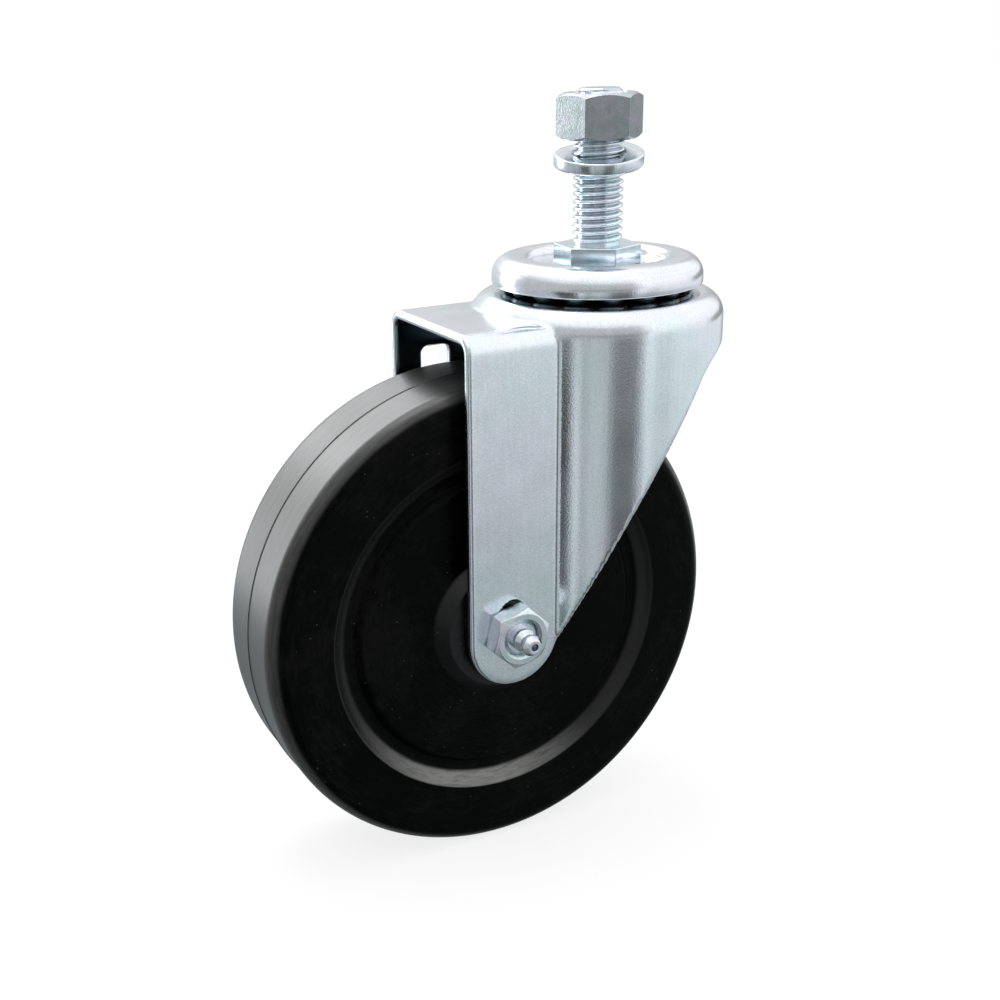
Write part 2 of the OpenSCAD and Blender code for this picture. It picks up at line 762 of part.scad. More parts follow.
// Half section of the wheel on one side of its middle, in radius and width
module wheel_side_section() {
    half = wheel_w / 2;
    tread_r = wheel_r - seam_h;
    web = half - web_depth;
    floor_z = half - groove_depth;
    curve_w = sqrt(pow(groove_curve, 2) - pow(groove_curve - groove_depth, 2));
    floor_r = groove_r - curve_w;
    web_r = groove_r - groove_w;
    difference() {
        union() {
            square_span(0, 0, tread_r, half - tread_shoulder);
            square_span(0, 0, tread_r - tread_shoulder, half);
            translate([tread_r - tread_shoulder, half - tread_shoulder]) circle(r = tread_shoulder);
            square_span(0, 0, wheel_r, seam_w / 2);
        }
        translate([floor_r, floor_z + groove_curve]) circle(r = groove_curve);
        polygon([
            [web_r, web], [web_r + groove_flank, floor_z], [floor_r, floor_z],
            [floor_r, half + over], [web_r, half + over]
        ]);
        square_span(-over, web, web_r + eps, half + over);
        square_span(-over, -over, cup_r, half + over);
    }
    difference() {
        polygon([
            [0, 0], [hub_base_r, 0], [hub_base_r, web],
            [hub_face_r + hub_chamfer, hub_half - hub_chamfer],
            [hub_face_r, hub_half], [0, hub_half]
        ]);
        square_span(-over, -over, cup_bore_r + hub_chamfer, half + reach);
        square_span(-over, -over, cup_r + fit, cup_len / 2);
    }
}

// Hard rubber wheel, moulded in one piece round its hub
module wheel() {
    color(rubber) on_axle() rotate_extrude($fn = 180) {
        wheel_side_section();
        mirror([0, 1]) wheel_side_section();
    }
}

stem();
upper_race();
lower_race();
upper_balls();
lower_balls();
lock_washer();
stem_nut();
fork();
axle_bolt();
axle_nut();
grease_nipple();
nipple_ball();
nipple_spring();
spanner_bushing();
thrust_washer_near();
thrust_washer_far();
roller_cage();
rollers();
bearing_cup();
wheel();
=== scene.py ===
# %% [markdown]
# # A threaded stem castor, dressed for its portrait
#
# The CAD model already holds the castor's sizes and its moving bodies. This
# lesson loads it, stands a camera where the photographer stood, and then makes
# the things that solids leave out: the rolled thread, the soft bends of the
# pressed fork, the grain of satin zinc and the scuffed black rubber.

# %% Load the castor
from math import atan2, cos, degrees, pi, radians, sin, sqrt, tan

import bmesh
import bpy
from mathutils import Matrix, Vector


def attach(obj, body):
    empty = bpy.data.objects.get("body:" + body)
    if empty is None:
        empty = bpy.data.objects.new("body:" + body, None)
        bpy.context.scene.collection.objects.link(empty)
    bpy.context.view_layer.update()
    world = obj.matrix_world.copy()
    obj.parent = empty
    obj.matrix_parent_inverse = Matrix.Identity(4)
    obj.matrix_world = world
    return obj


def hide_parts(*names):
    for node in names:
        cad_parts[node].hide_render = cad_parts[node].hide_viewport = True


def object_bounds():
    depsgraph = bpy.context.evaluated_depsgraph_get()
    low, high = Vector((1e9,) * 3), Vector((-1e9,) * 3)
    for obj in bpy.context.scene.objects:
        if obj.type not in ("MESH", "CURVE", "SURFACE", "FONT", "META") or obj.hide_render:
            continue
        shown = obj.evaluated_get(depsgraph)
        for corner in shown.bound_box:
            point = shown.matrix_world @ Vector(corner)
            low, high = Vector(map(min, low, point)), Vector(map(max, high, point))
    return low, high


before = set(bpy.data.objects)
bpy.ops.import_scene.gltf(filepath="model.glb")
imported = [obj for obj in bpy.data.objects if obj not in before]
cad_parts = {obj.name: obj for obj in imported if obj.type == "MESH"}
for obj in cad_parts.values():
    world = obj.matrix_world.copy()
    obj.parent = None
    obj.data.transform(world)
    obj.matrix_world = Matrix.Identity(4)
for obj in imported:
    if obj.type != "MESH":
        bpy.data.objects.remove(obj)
cad_box = [list(corner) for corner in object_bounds()]
MM = 0.001
AXLE = Vector((-37.0, 0, -92.1))
print("CAD box in mm:", [[round(v / MM, 1) for v in corner] for corner in cad_box])

# %% [markdown]
# ## The camera
#
# A camera can be placed by eye, but a castor has round rims and straight edges
# that punish a wrong angle at once. The place used here was solved from points
# read off the photograph. Shifting the lens sideways, instead of turning the
# camera, keeps the perspective of the real picture.

# %% Stand the camera where the photographer stood
AZIMUTH, ELEVATION, ROLL = radians(-24.86), radians(19.89), radians(-1.57)
LENS_PX = 1388.5
MIDDLE_PX = (412.8, 521.1)
CAMERA_AT = Vector((-195.0, -304.1, 55.2)) * MM


def camera_turn():
    back = Vector((sin(AZIMUTH) * cos(ELEVATION), -cos(AZIMUTH) * cos(ELEVATION), sin(ELEVATION)))
    right = Vector((cos(AZIMUTH), sin(AZIMUTH), 0))
    up = back.cross(right)
    right_rolled = cos(ROLL) * right + sin(ROLL) * up
    up_rolled = cos(ROLL) * up - sin(ROLL) * right
    return Matrix((right_rolled, up_rolled, back)).transposed()


lens = bpy.data.cameras.new("photo_camera")
lens.sensor_width = 36
lens.lens = LENS_PX / 1000 * 36
lens.shift_x = (500 - MIDDLE_PX[0]) / 1000
lens.shift_y = (MIDDLE_PX[1] - 500) / 1000
lens.clip_start = 0.01
camera = bpy.data.objects.new("photo_camera", lens)
camera.matrix_world = Matrix.Translation(CAMERA_AT) @ camera_turn().to_4x4()
bpy.context.scene.collection.objects.link(camera)
bpy.context.scene.camera = camera
bpy.context.scene.view_settings.view_transform = "Standard"
print("lens", round(lens.lens, 2), "mm, shift", round(lens.shift_x, 4), round(lens.shift_y, 4))

# %% [markdown]
# ## Node trees that read as maths
#
# Materials and Geometry Nodes are both trees of nodes. Wiring them by hand takes
# a dozen lines for one sum. A small class wraps a socket instead, so that
# `1 - mask * 0.3` adds the Math nodes by itself. Every other node comes from one
# method, which takes the node's settings first and its inputs after.


# %% A socket that can be added and multiplied
class Value:
    def __init__(self, graph, socket):
        self.graph, self.socket = graph, socket

    def maths(self, operation, *others):
        inputs = dict(enumerate((self,) + others))
        return self.graph.add(self.graph.MATHS, {"operation": operation}, inputs)

    def __add__(self, other):
        return self.maths("ADD", other)

    __radd__ = __add__

    def __sub__(self, other):
        return self.maths("SUBTRACT", other)

    def __rsub__(self, other):
        return self.graph.add(self.graph.MATHS, {"operation": "SUBTRACT"}, {0: other, 1: self})

    def __mul__(self, other):
        return self.maths("MULTIPLY", other)

    __rmul__ = __mul__

    def __truediv__(self, other):
        return self.maths("DIVIDE", other)

    def __neg__(self):
        return self.maths("MULTIPLY", -1.0)


# %% A tree that adds nodes by kind, settings and inputs
class Graph:
    MATHS = "ShaderNodeMath"

    def __init__(self, tree):
        self.tree = tree

    def feed(self, socket, value):
        if isinstance(value, Value):
            self.tree.links.new(value.socket, socket)
        else:
            socket.default_value = value

    def add(self, kind, settings=None, inputs=None, output=0):
        node = self.tree.nodes.new(kind)
        for key, setting in (settings or {}).items():
            if key == "stops":
                self.set_stops(node.color_ramp, setting)
            else:
                setattr(node, key, setting)
        for key, value in (inputs or {}).items():
            self.feed(node.inputs[key], value)
        return Value(self, node.outputs[output])

    @staticmethod
    def set_stops(ramp, stops):
        while len(ramp.elements) < len(stops):
            ramp.elements.new(1)
        for element, (place, grey) in zip(ramp.elements, stops):
            element.position = place
            element.color = (grey, grey, grey, 1)

    def least(self, a, b):
        return a.maths("MINIMUM", b)

    def most(self, a, b):
        return a.maths("MAXIMUM", b)

    def length(self, a, b):
        return (a * a + b * b).maths("SQRT")

    def parts(self, vector):
        node = self.tree.nodes.new("ShaderNodeSeparateXYZ")
        self.feed(node.inputs[0], vector)
        return [Value(self, node.outputs[i]) for i in range(3)]

    def vector(self, x, y, z):
        return self.add("ShaderNodeCombineXYZ", {}, {0: x, 1: y, 2: z})

    def fade(self, value, low, high, to_low=0.0, to_high=1.0):
        """Runs smoothly from to_low to to_high as value goes from low to high."""
        return self.add(
            "ShaderNodeMapRange", {"interpolation_type": "SMOOTHSTEP"},
            {"Value": value, "From Min": low, "From Max": high,
             "To Min": to_low, "To Max": to_high},
        )

    def mix(self, factor, a, b):
        """Mixes two colours."""
        return self.add(
            "ShaderNodeMix", {"data_type": "RGBA"}, {0: factor, 6: a, 7: b}, output=2
        )

    def noise(self, spot, scale, detail=2.0, rough=0.5, warp=0.0):
        return self.add(
            "ShaderNodeTexNoise", {},
            {"Vector": spot, "Scale": scale, "Detail": detail, "Roughness": rough,
             "Distortion": warp},
        )


# %% [markdown]
# ## Light
#
# Metal shows the room around it as bands, so the room belongs to the world, where
# mirror rays see it: a bright side, a dim side, some dark and pale strips, and
# three panes behind the castor that put the sheen on the tread. Real lamps could
# draw the same bands, but each would also light the floor. Rays that light dull
# surfaces see a plain pale world instead, and the camera sees pure white.

# %% Helpers for the room's strips and heights
BRIGHT_SIDE = [
    (0.00, 0.28), (0.25, 0.42), (0.29, 0.58), (0.335, 0.68), (0.37, 0.88), (0.415, 0.96),
    (0.50, 1.04), (0.585, 1.14), (0.67, 1.22), (1.0, 1.26),
]
DIM_SIDE = [
    (0.00, 0.24), (0.25, 0.34), (0.29, 0.45), (0.34, 0.55), (0.73, 0.60), (0.81, 0.95),
    (0.89, 1.22), (1.0, 1.26),
]


def lobe(room, x, y, bearing, inner, outer):
    """1 towards a bearing, in degrees, fading to 0 between two half-widths."""
    flat = room.length(x, y)
    along = (x * cos(radians(bearing)) + y * sin(radians(bearing))) / (flat + 0.0001)
    return room.fade(along, cos(radians(outer)), cos(radians(inner)))


def room_base(room, x, y, z):
    """The room's plain brightness: each side has its own run from floor to ceiling."""
    height = z * 0.5 + 0.5
    bright = room.add("ShaderNodeValToRGB", {"stops": BRIGHT_SIDE}, {0: height})
    dim = room.add("ShaderNodeValToRGB", {"stops": DIM_SIDE}, {0: height})
    front = lobe(room, x, y, -20, 50, 64)
    rear = lobe(room, x, y, 95, 40, 58) * 0.55
    return dim + (bright - dim) * (front + rear)


# %% The strips and the panes that the metal and the tread reflect
def room_strips(room, x, y, z):
    """A factor: under 1 on the dark strips, over 1 on the pale ones."""
    below = room.fade(z, -0.17, -0.23)
    lower = room.fade(z, 0.04, -0.12)
    level = room.fade(z, -0.16, -0.11) * room.fade(z, 0.07, 0.0)
    high = room.fade(z, 0.5, -0.1)

    def shade(bearing, inner, outer, depth):
        return 1 - lobe(room, x, y, bearing, inner, outer) * depth

    dark = (
        shade(-94, 7, 18, high * 0.16 + below * 0.52)
        * shade(-156, 11, 15, below * room.fade(z, -0.40, -0.31, 0.7, 0.99))
        * shade(-133, 0.5, 4, below * 0.30) * shade(-60, 5, 15, lower * 0.14)
        * shade(-101, 8, 26, level * 0.34) * shade(-134, 8, 22, level * 0.28)
        * shade(19, 8, 24, level * 0.62) * shade(50, 10, 26, high * 0.34)
    )
    pale = (
        shade(-75, 2, 9, lower * -0.22) * shade(-139, 3, 6, below * -0.72)
        * shade(-120, 4, 12, below * -0.16)
    )
    return dark * pale


def room_panes(room, x, y, z):
    def pane(bearing, inner, outer, low, high, strength):
        """A bright pane between two heights, whose soft edges are 0.14 deep."""
        tall = room.fade(z, low - 0.07, low + 0.07) * room.fade(z, high + 0.07, high - 0.07)
        return lobe(room, x, y, bearing, inner, outer) * tall * strength

    return (
        pane(124, 5, 11, -0.20, 0.42, 4.3) + pane(111, 6, 13, 0.30, 0.62, 5.0)
        + pane(94, 12, 26, 0.44, 0.70, 5.0)
    )


# %% Build the room in the world
FILL = 0.85


def light_room():
    world = bpy.data.worlds.new("white_room")
    world.use_nodes = True
    world.cycles.sampling_method = "NONE"
    bpy.context.scene.world = world
    room = Graph(world.node_tree)
    room.tree.nodes.clear()
    towards = room.add("ShaderNodeTexCoord", output=0)
    x, y, z = room.parts(towards)
    light = room_base(room, x, y, z) * room_strips(room, x, y, z) + room_panes(room, x, y, z)
    tint = room.mix(room.fade(z, 0.1, -0.4), (0.98, 0.99, 1.0, 1), (0.90, 0.97, 1.0, 1))
    seen = room.add(
        "ShaderNodeVectorMath", {"operation": "SCALE"}, {0: tint, "Scale": light}
    )
    path = {name: room.add("ShaderNodeLightPath", output=name) for name in
            ("Is Camera Ray", "Is Glossy Ray", "Is Transmission Ray")}
    plain = room.add("ShaderNodeBackground", {}, {"Color": (1, 1, 1, 1), "Strength": FILL})
    mirrored = room.add("ShaderNodeBackground", {}, {"Color": seen, "Strength": 1.0})
    white = room.add("ShaderNodeBackground", {}, {"Color": (1, 1, 1, 1), "Strength": 1.0})
    lit = room.add("ShaderNodeMixShader", {}, {0: path["Is Glossy Ray"], 1: plain, 2: mirrored})
    view = room.most(path["Is Camera Ray"], path["Is Transmission Ray"])
    lit = room.add("ShaderNodeMixShader", {}, {0: view, 1: lit, 2: white})
    end = room.tree.nodes.new("ShaderNodeOutputWorld")
    room.feed(end.inputs["Surface"], lit)
    print("world:", len(room.tree.nodes), "nodes")


light_room()

# %% [markdown]
# A soft box above gives the black rubber a little more light, and puts a faint
# shadow on the floor. It is large, because a small lamp would draw a hard white
# dot on every rounded corner.


# %% Hang the soft box
def soft_box(name, at, to, size, watts):
    light = bpy.data.lights.new(name, "AREA")
    light.shape = "DISK"
    light.size = size
    light.energy = watts
    box = bpy.data.objects.new(name, light)
    aim = (Vector(to) - Vector(at)).to_track_quat("-Z", "Y")
    box.matrix_world = Matrix.Translation(at) @ aim.to_matrix().to_4x4()
    bpy.context.scene.collection.objects.link(box)
    print(name, "gives", watts, "watts")


soft_box("box_above", (-0.10, 0.15, 0.80), (-0.03, 0, -0.06), 0.5, 2.0)


# %% [markdown]
# ## Floor
#
# The castor stands on a seamless white sheet. The sheet gives off its own light
# only to the camera and to mirrors, so it shows as pure white, and still keeps
# the soft shadow where the wheel blocks the room.


# %% Lay the white floor
def surface_tree(name):
    material = bpy.data.materials.new(name)
    material.use_nodes = True
    material.node_tree.nodes.clear()
    return material, Graph(material.node_tree)


def lay_floor():
    material, paint = surface_tree("white_sheet")
    seen = paint.most(
        paint.add("ShaderNodeLightPath", output="Is Camera Ray"),
        paint.most(
            paint.add("ShaderNodeLightPath", output="Is Glossy Ray"),
            paint.add("ShaderNodeLightPath", output="Is Transmission Ray"),
        ),
    )
    dull = paint.add("ShaderNodeBsdfDiffuse", {}, {"Color": (0.30, 0.30, 0.30, 1)})
    glow = paint.add("ShaderNodeEmission", {}, {"Strength": seen * 0.78})
    both = paint.add("ShaderNodeAddShader", {}, {0: dull, 1: glow})
    paint.feed(paint.tree.nodes.new("ShaderNodeOutputMaterial").inputs["Surface"], both)
    mesh = bpy.data.meshes.new("floor")
    z = cad_box[0][2]
    mesh.from_pydata([(-4, -4, z), (4, -4, z), (4, 4, z), (-4, 4, z)], [], [(0, 1, 2, 3)])
    mesh.materials.append(material)
    floor = bpy.data.objects.new("floor", mesh)
    floor.visible_glossy = False
    bpy.context.scene.collection.objects.link(floor)
    print("floor at", round(z / MM, 1), "mm")


lay_floor()

# %% [markdown]
# ## Zinc plate
#
# The steel is bright zinc plated: a satin, slightly bluish metal with a fine
# grain, and faint lilac and teal clouds from the bath. Fine lines run along it
# from the drawing of the sheet, or round it on a turned piece. An image could
# carry that, but it would stretch round the bends. Noise in the object's own
# space has the same grain on every piece. A piece may also say where hardly any
# light reaches it, and is painted dimmer there.


# %% Mix the zinc finish
RELIEF_DEEP = 0.00006
UNLIT = (0.11, 0.17, 0.20, 1)


def drawn_lines(paint, x, y, z, turned):
    """Noise drawn out along the height, or in rings round the middle."""
    if turned:
        along = paint.vector(paint.length(x, y), z * 0.4, 0.0)
    else:
        along = paint.vector(x, y, z * 0.06)
    return paint.noise(along, 1100, 3.0, 0.6)


def zinc_plate(name, pale, deep, rough, grain, cloud_size=22.0, dim=None, turned=False):
    """Two linear colours, roughness, depth of grain, and the clouds' size in mm."""
    material, paint = surface_tree(name)
    spot = paint.add("ShaderNodeTexCoord", output=3)
    x, y, z = paint.parts(spot)
    cloud = paint.noise(spot, 1000 / cloud_size, 3.0, 0.55, 0.4)
    lines = drawn_lines(paint, x, y, z, turned)
    patch = paint.noise(spot, 1000 / (cloud_size * 0.35), 2.0, 0.5)
    fleck = paint.noise(spot, 2600, 2.0, 0.6)
    lilac = tuple(v * k for v, k in zip(pale, (0.985, 0.975, 1.01))) + (1,)
    teal = tuple(v * k for v, k in zip(deep, (0.95, 1.01, 1.01))) + (1,)
    colour = paint.mix(paint.fade(cloud, 0.36, 0.64), lilac, teal)
    shade = paint.fade(patch, 0.3, 0.7, 0.97, 1.03) * paint.fade(fleck, 0.25, 0.75, 0.92, 1.06)
    shade = shade * paint.fade(lines, 0.3, 0.7, 0.97, 1.03)
    colour = paint.add("ShaderNodeVectorMath", {"operation": "SCALE"}, {0: colour, "Scale": shade})
    if dim:
        colour = paint.mix(dim(paint, x, y, z), colour, UNLIT)
    pits = paint.noise(spot, 2200, 2.0, 0.55)
    ripple = paint.noise(spot, 160, 2.0, 0.5)
    height = pits + ripple * 0.8 + lines * (1.2 if turned else 0.0)
    relief = paint.add(
        "ShaderNodeBump", {}, {"Strength": grain, "Distance": RELIEF_DEEP, "Height": height}
    )
    metal = paint.add("ShaderNodeBsdfPrincipled", {}, {
        "Base Color": colour, "Metallic": 1.0, "Normal": relief,
        "Roughness": paint.fade(patch, 0.3, 0.7, rough * 0.9, rough * 1.12),
    })
    paint.feed(paint.tree.nodes.new("ShaderNodeOutputMaterial").inputs["Surface"], metal)
    return material


# %% [markdown]
# The stem's zinc is given painted shade: darker in its thread's roots, and on the
# collar's sides, which stand in the shadow of the dished cap. Both follow from radius and height
# alone.


# %% Name the metals
def stem_painted_shade(paint, x, y, z):
    """How much painted shade the stem gets: in its thread's roots and on the collar's sides."""
    out = paint.length(x, y) * 1000
    roots = paint.fade(out, 6.22, 5.30) * paint.fade(z, 0.0, 0.0006, 0.0, 0.36)
    sides = paint.fade(out, 9.2, 9.8) * paint.fade(z, 0.0, -0.0005, 0.0, 0.45)
    return paint.most(roots, sides)


cap_zinc = zinc_plate(
    "cap_zinc", (0.80, 0.81, 0.84), (0.76, 0.78, 0.81), 0.18, 0.30, turned=True
)
# painted shade: the stem's zinc is darkened in its thread's roots and on the collar's sides
stem_zinc = zinc_plate(
    "stem_zinc", (0.84, 0.88, 0.92), (0.74, 0.84, 0.88), 0.18, 0.22, 9.0, stem_painted_shade
)
nut_zinc = zinc_plate("nut_zinc", (0.78, 0.78, 0.84), (0.68, 0.74, 0.74), 0.22, 0.42, 8.0)
stem_nut_zinc = zinc_plate(
    "stem_nut_zinc", (0.60, 0.60, 0.66), (0.50, 0.55, 0.55), 0.20, 0.60, 8.0
)
race_steel = zinc_plate("race_steel", (0.70, 0.72, 0.76), (0.62, 0.66, 0.70), 0.30, 0.25)
ball_steel = zinc_plate("ball_steel", (0.66, 0.69, 0.72), (0.60, 0.63, 0.67), 0.20, 0.05)
# painted shade: dark steel that stands for the shade in the gap under the cap's rim
gap_shaded_steel = zinc_plate("gap_shaded_steel", (0.20, 0.25, 0.26), (0.16, 0.21, 0.22), 0.34, 0.05)
dark_steel = zinc_plate("dark_steel", (0.10, 0.14, 0.17), (0.08, 0.11, 0.14), 0.25, 0.05)
print("metals:", [m.name for m in bpy.data.materials if m.name.endswith(("zinc", "steel"))])

# %% [markdown]
# ## Rubber
#
# The wheel is hard moulded rubber: black, half glossy on the tread, a little
# dusty. Handling leaves dull scuffs and single pale specks, and rolling rubs streaks
# round the tread. The hollow in each face is painted a little lighter round its outer
# curve as a painted sheen, and much lighter on its lower ledge as a painted highlight.
# Three scales of noise and one of scattered cells carry all this.


# %% Find the wheel's places by radius and turn
def wheel_places(paint, x, y, z):
    """Masks, in mm, for the tread, the hollow's outer curve, the hub's cone, the rub streaks and a
    painted highlight on the hollow's lower ledge.
    """
    out = paint.length(x - AXLE.x, z - AXLE.z)
    side = y.maths("ABSOLUTE")
    turn = (z - AXLE.z).maths("ARCTAN2", x - AXLE.x)
    tread = paint.fade(out - side * 0.9, 46.6, 48.6)
    curve = paint.fade(out, 42.6, 43.8) * paint.fade(out, 46.9, 46.3)
    cone = paint.fade(out, 19.6, 18.6)
    rubbed = paint.noise(paint.vector(out * 1.4, turn * 9.0, side * 1.4), 1.0, 3.0, 0.65)
    # painted highlight: a pale crescent on the hollow's lower curve, round the bottom of the wheel
    ledge_painted_highlight = curve * paint.fade((turn + 1.80).maths("ABSOLUTE"), 0.95, 0.10)
    return tread, curve, cone, rubbed, ledge_painted_highlight


def specks(paint, spot, cloud):
    """Single pale grains: the middles of a few scattered cells."""
    cells = {"Vector": spot, "Scale": 560}
    colour = paint.add("ShaderNodeTexVoronoi", {}, cells, "Color")
    distance = paint.add("ShaderNodeTexVoronoi", {}, cells, "Distance")
    chosen = paint.fade(paint.parts(colour)[0], 0.70, 0.78)
    return paint.fade(distance, 0.14, 0.05) * chosen * paint.fade(cloud, 0.40, 0.55)


# %% Mix the rubber
def grey(level, blue):
    return (level, level, blue, 1)


def moulded_rubber():
    material, paint = surface_tree("black_rubber")
    spot = paint.add("ShaderNodeTexCoord", output=3)
    x, y, z = [part * 1000 for part in paint.parts(spot)]
    tread, curve, cone, rubbed, ledge_painted_highlight = wheel_places(paint, x, y, z)
    cloud = paint.noise(spot, 38, 4.0, 0.6, 0.6)
    scuff = paint.noise(spot, 220, 5.0, 0.7, 1.2)
    dust = paint.noise(spot, 900, 2.0, 0.7)
    worn = paint.fade(cloud * 0.45 + scuff * 0.25 + rubbed * 0.3, 0.46, 0.62)
    colour = paint.mix(worn, (0.0009, 0.0010, 0.0010, 1), grey(0.0062, 0.0060))
    streaked = paint.mix(paint.fade(rubbed, 0.35, 0.65), grey(0.020, 0.0195), grey(0.042, 0.040))
    colour = paint.mix(tread, colour, streaked)
    # painted sheen: the hollow's outer curve is painted a little lighter than the face
    colour = paint.mix(curve * 0.6, colour, grey(0.022, 0.021))
    # painted highlight: the hollow's lower ledge is painted pale grey, broken by the rub noise
    colour = paint.mix(
        ledge_painted_highlight * paint.fade(rubbed, 0.30, 0.60, 0.6, 1.0), colour, grey(0.30, 0.295)
    )
    colour = paint.mix(specks(paint, spot, cloud) * 0.6, colour, grey(0.12, 0.12))
    relief = paint.add(
        "ShaderNodeBump", {}, {"Strength": 0.30, "Distance": 0.0001, "Height": scuff + dust * 0.5}
    )
    skin = paint.add("ShaderNodeBsdfPrincipled", {}, {
        "Base Color": colour, "Roughness": paint.fade(worn, 0.0, 1.0, 0.36, 0.46),
        "Normal": relief, "Specular IOR Level": 0.05, "Coat Roughness": 0.36,
        "Coat Weight": paint.most(tread, paint.most(curve * 0.4, cone * 0.6)),
    })
    paint.feed(paint.tree.nodes.new("ShaderNodeOutputMaterial").inputs["Surface"], skin)
    return material


rubber = moulded_rubber()
print("rubber:", len(rubber.node_tree.nodes), "nodes")

# %% [markdown]
# ## From outlines to pieces
#
# Most of a castor is turned on a lathe. Here a piece is an outline of radius and
# height, swung round an axis. Corners with a radius of their own keep every edge
# a little soft, because a perfectly sharp edge never catches the light.


# %% Helpers for outlines
def arc(centre, radius, start, end, steps=10):
    """Points on a circle, from one angle to another, in degrees."""
    turns = [radians(start + (end - start) * i / steps) for i in range(steps + 1)]
    return [(centre[0] + radius * cos(a), centre[1] + radius * sin(a)) for a in turns]


def eased(corners, steps=5):
    """Outline with each (x, y, radius) corner rounded where its radius isn't 0."""
    points = []
    for i, (x, y, radius) in enumerate(corners):
        here = Vector((x, y))
        if not radius:
            points.append((x, y))
            continue
        into = (Vector(corners[i - 1][:2]) - here).normalized()
        onto = (Vector(corners[(i + 1) % len(corners)][:2]) - here).normalized()
        half = into.angle(onto) / 2
        reach = radius / tan(half)
        middle = here + (into + onto).normalized() * radius / sin(half)
        first, last = here + into * reach - middle, here + onto * reach - middle
        sweep = atan2(first.x * last.y - first.y * last.x, first.dot(last))
        for step in range(steps + 1):
            turn = Matrix.Rotation(sweep * step / steps, 2)
            points.append(tuple(middle + turn @ first))
    return points


# %% Helpers that make pieces of them
ON_AXLE = Matrix(((1, 0, 0), (0, 0, -1), (0, 1, 0)))


def placed(points, on_axle=False):
    """Millimetres to metres; on the axle, a piece's own height points to the near side."""
    if on_axle:
        points = [AXLE + ON_AXLE @ Vector(p) for p in points]
    return [tuple(Vector(p) * MM) for p in points]


def piece(name, mesh, material, body, replaces=()):
    obj = bpy.data.objects.new(name, mesh)
    bpy.context.scene.collection.objects.link(obj)
    mesh.materials.clear()
    mesh.materials.append(material)
    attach(obj, body)
    if replaces:
        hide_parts(*replaces)
    mesh.calc_loop_triangles()
    print(f"{name}: {len(mesh.loop_triangles)} triangles on {body}")
    return obj


def turned_mesh(name, outline, segments, on_axle=False):
    """Swings a closed outline of (radius, height) once round."""
    count = len(outline)
    points = [
        (r * cos(2 * pi * i / segments), r * sin(2 * pi * i / segments), h)
        for i in range(segments) for r, h in outline
    ]
    faces = [
        (i * count + j, (i + 1) % segments * count + j,
         (i + 1) % segments * count + (j + 1) % count, i * count + (j + 1) % count)
        for i in range(segments) for j in range(count)
    ]
    mesh = bpy.data.meshes.new(name)
    mesh.from_pydata(placed(points, on_axle), [], faces)
    return mesh


def tidy(mesh, sharp_over=35):
    """Merges doubled points, turns all faces outwards and sets the shading."""
    shape = bmesh.new()
    shape.from_mesh(mesh)
    bmesh.ops.remove_doubles(shape, verts=shape.verts, dist=1e-7)
    bmesh.ops.dissolve_degenerate(shape, edges=shape.edges, dist=1e-7)
    bmesh.ops.recalc_face_normals(shape, faces=shape.faces)
    for face in shape.faces:
        face.smooth = True
    shape.to_mesh(mesh)
    shape.free()
    mesh.set_sharp_from_angle(angle=radians(sharp_over))
    return mesh


def joined(name, *meshes):
    """One mesh out of several, each of which stays a closed shell."""
    shape = bmesh.new()
    for mesh in meshes:
        shape.from_mesh(mesh)
    whole = bpy.data.meshes.new(name)
    shape.to_mesh(whole)
    shape.free()
    return whole


# %% [markdown]
# Pieces with flat faces start from the CAD node itself. A copy of its mesh is
# merged, its flat faces are joined up again, and the hard edges are rounded by a
# bevel. Each point then takes its normal mostly from the largest face beside it,
# so flats stay flat and only the bevel shines.


# %% Helper that softens a CAD piece
def softened_mesh(node, width, segments=3, keep=None, sharp_over=26):
    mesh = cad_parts[node].data.copy()
    shape = bmesh.new()
    shape.from_mesh(mesh)
    bmesh.ops.remove_doubles(shape, verts=shape.verts, dist=2e-7)
    if keep:
        loose = [v for v in shape.verts if not keep(v.co / MM)]
        bmesh.ops.delete(shape, geom=loose, context="VERTS")
    bmesh.ops.dissolve_limit(
        shape, angle_limit=radians(0.5), verts=shape.verts, edges=shape.edges
    )
    hard = [
        e for e in shape.edges
        if len(e.link_faces) == 2 and e.calc_face_angle() > radians(sharp_over)
    ]
    bmesh.ops.bevel(
        shape, geom=hard, offset=width * MM, offset_type="OFFSET", segments=segments,
        profile=0.5, affect="EDGES", clamp_overlap=True,
    )
    for face in shape.faces:
        face.smooth = True
    shape.to_mesh(mesh)
    shape.free()
    weigh_normals(mesh)
    return mesh


def weigh_normals(mesh):
    normals = [Vector() for _ in mesh.vertices]
    for face in mesh.polygons:
        for i in face.vertices:
            normals[i] += face.normal * face.area
    mesh.normals_split_custom_set_from_vertices([n.normalized() for n in normals])


# %% [markdown]
# ## Recipes
#
# Geometry Nodes suit whatever follows a rule: a thread, a ring of balls, a sheet
# pressed to shape. A recipe is such a tree, with named sizes. It is run once,
# and its result becomes a plain mesh.


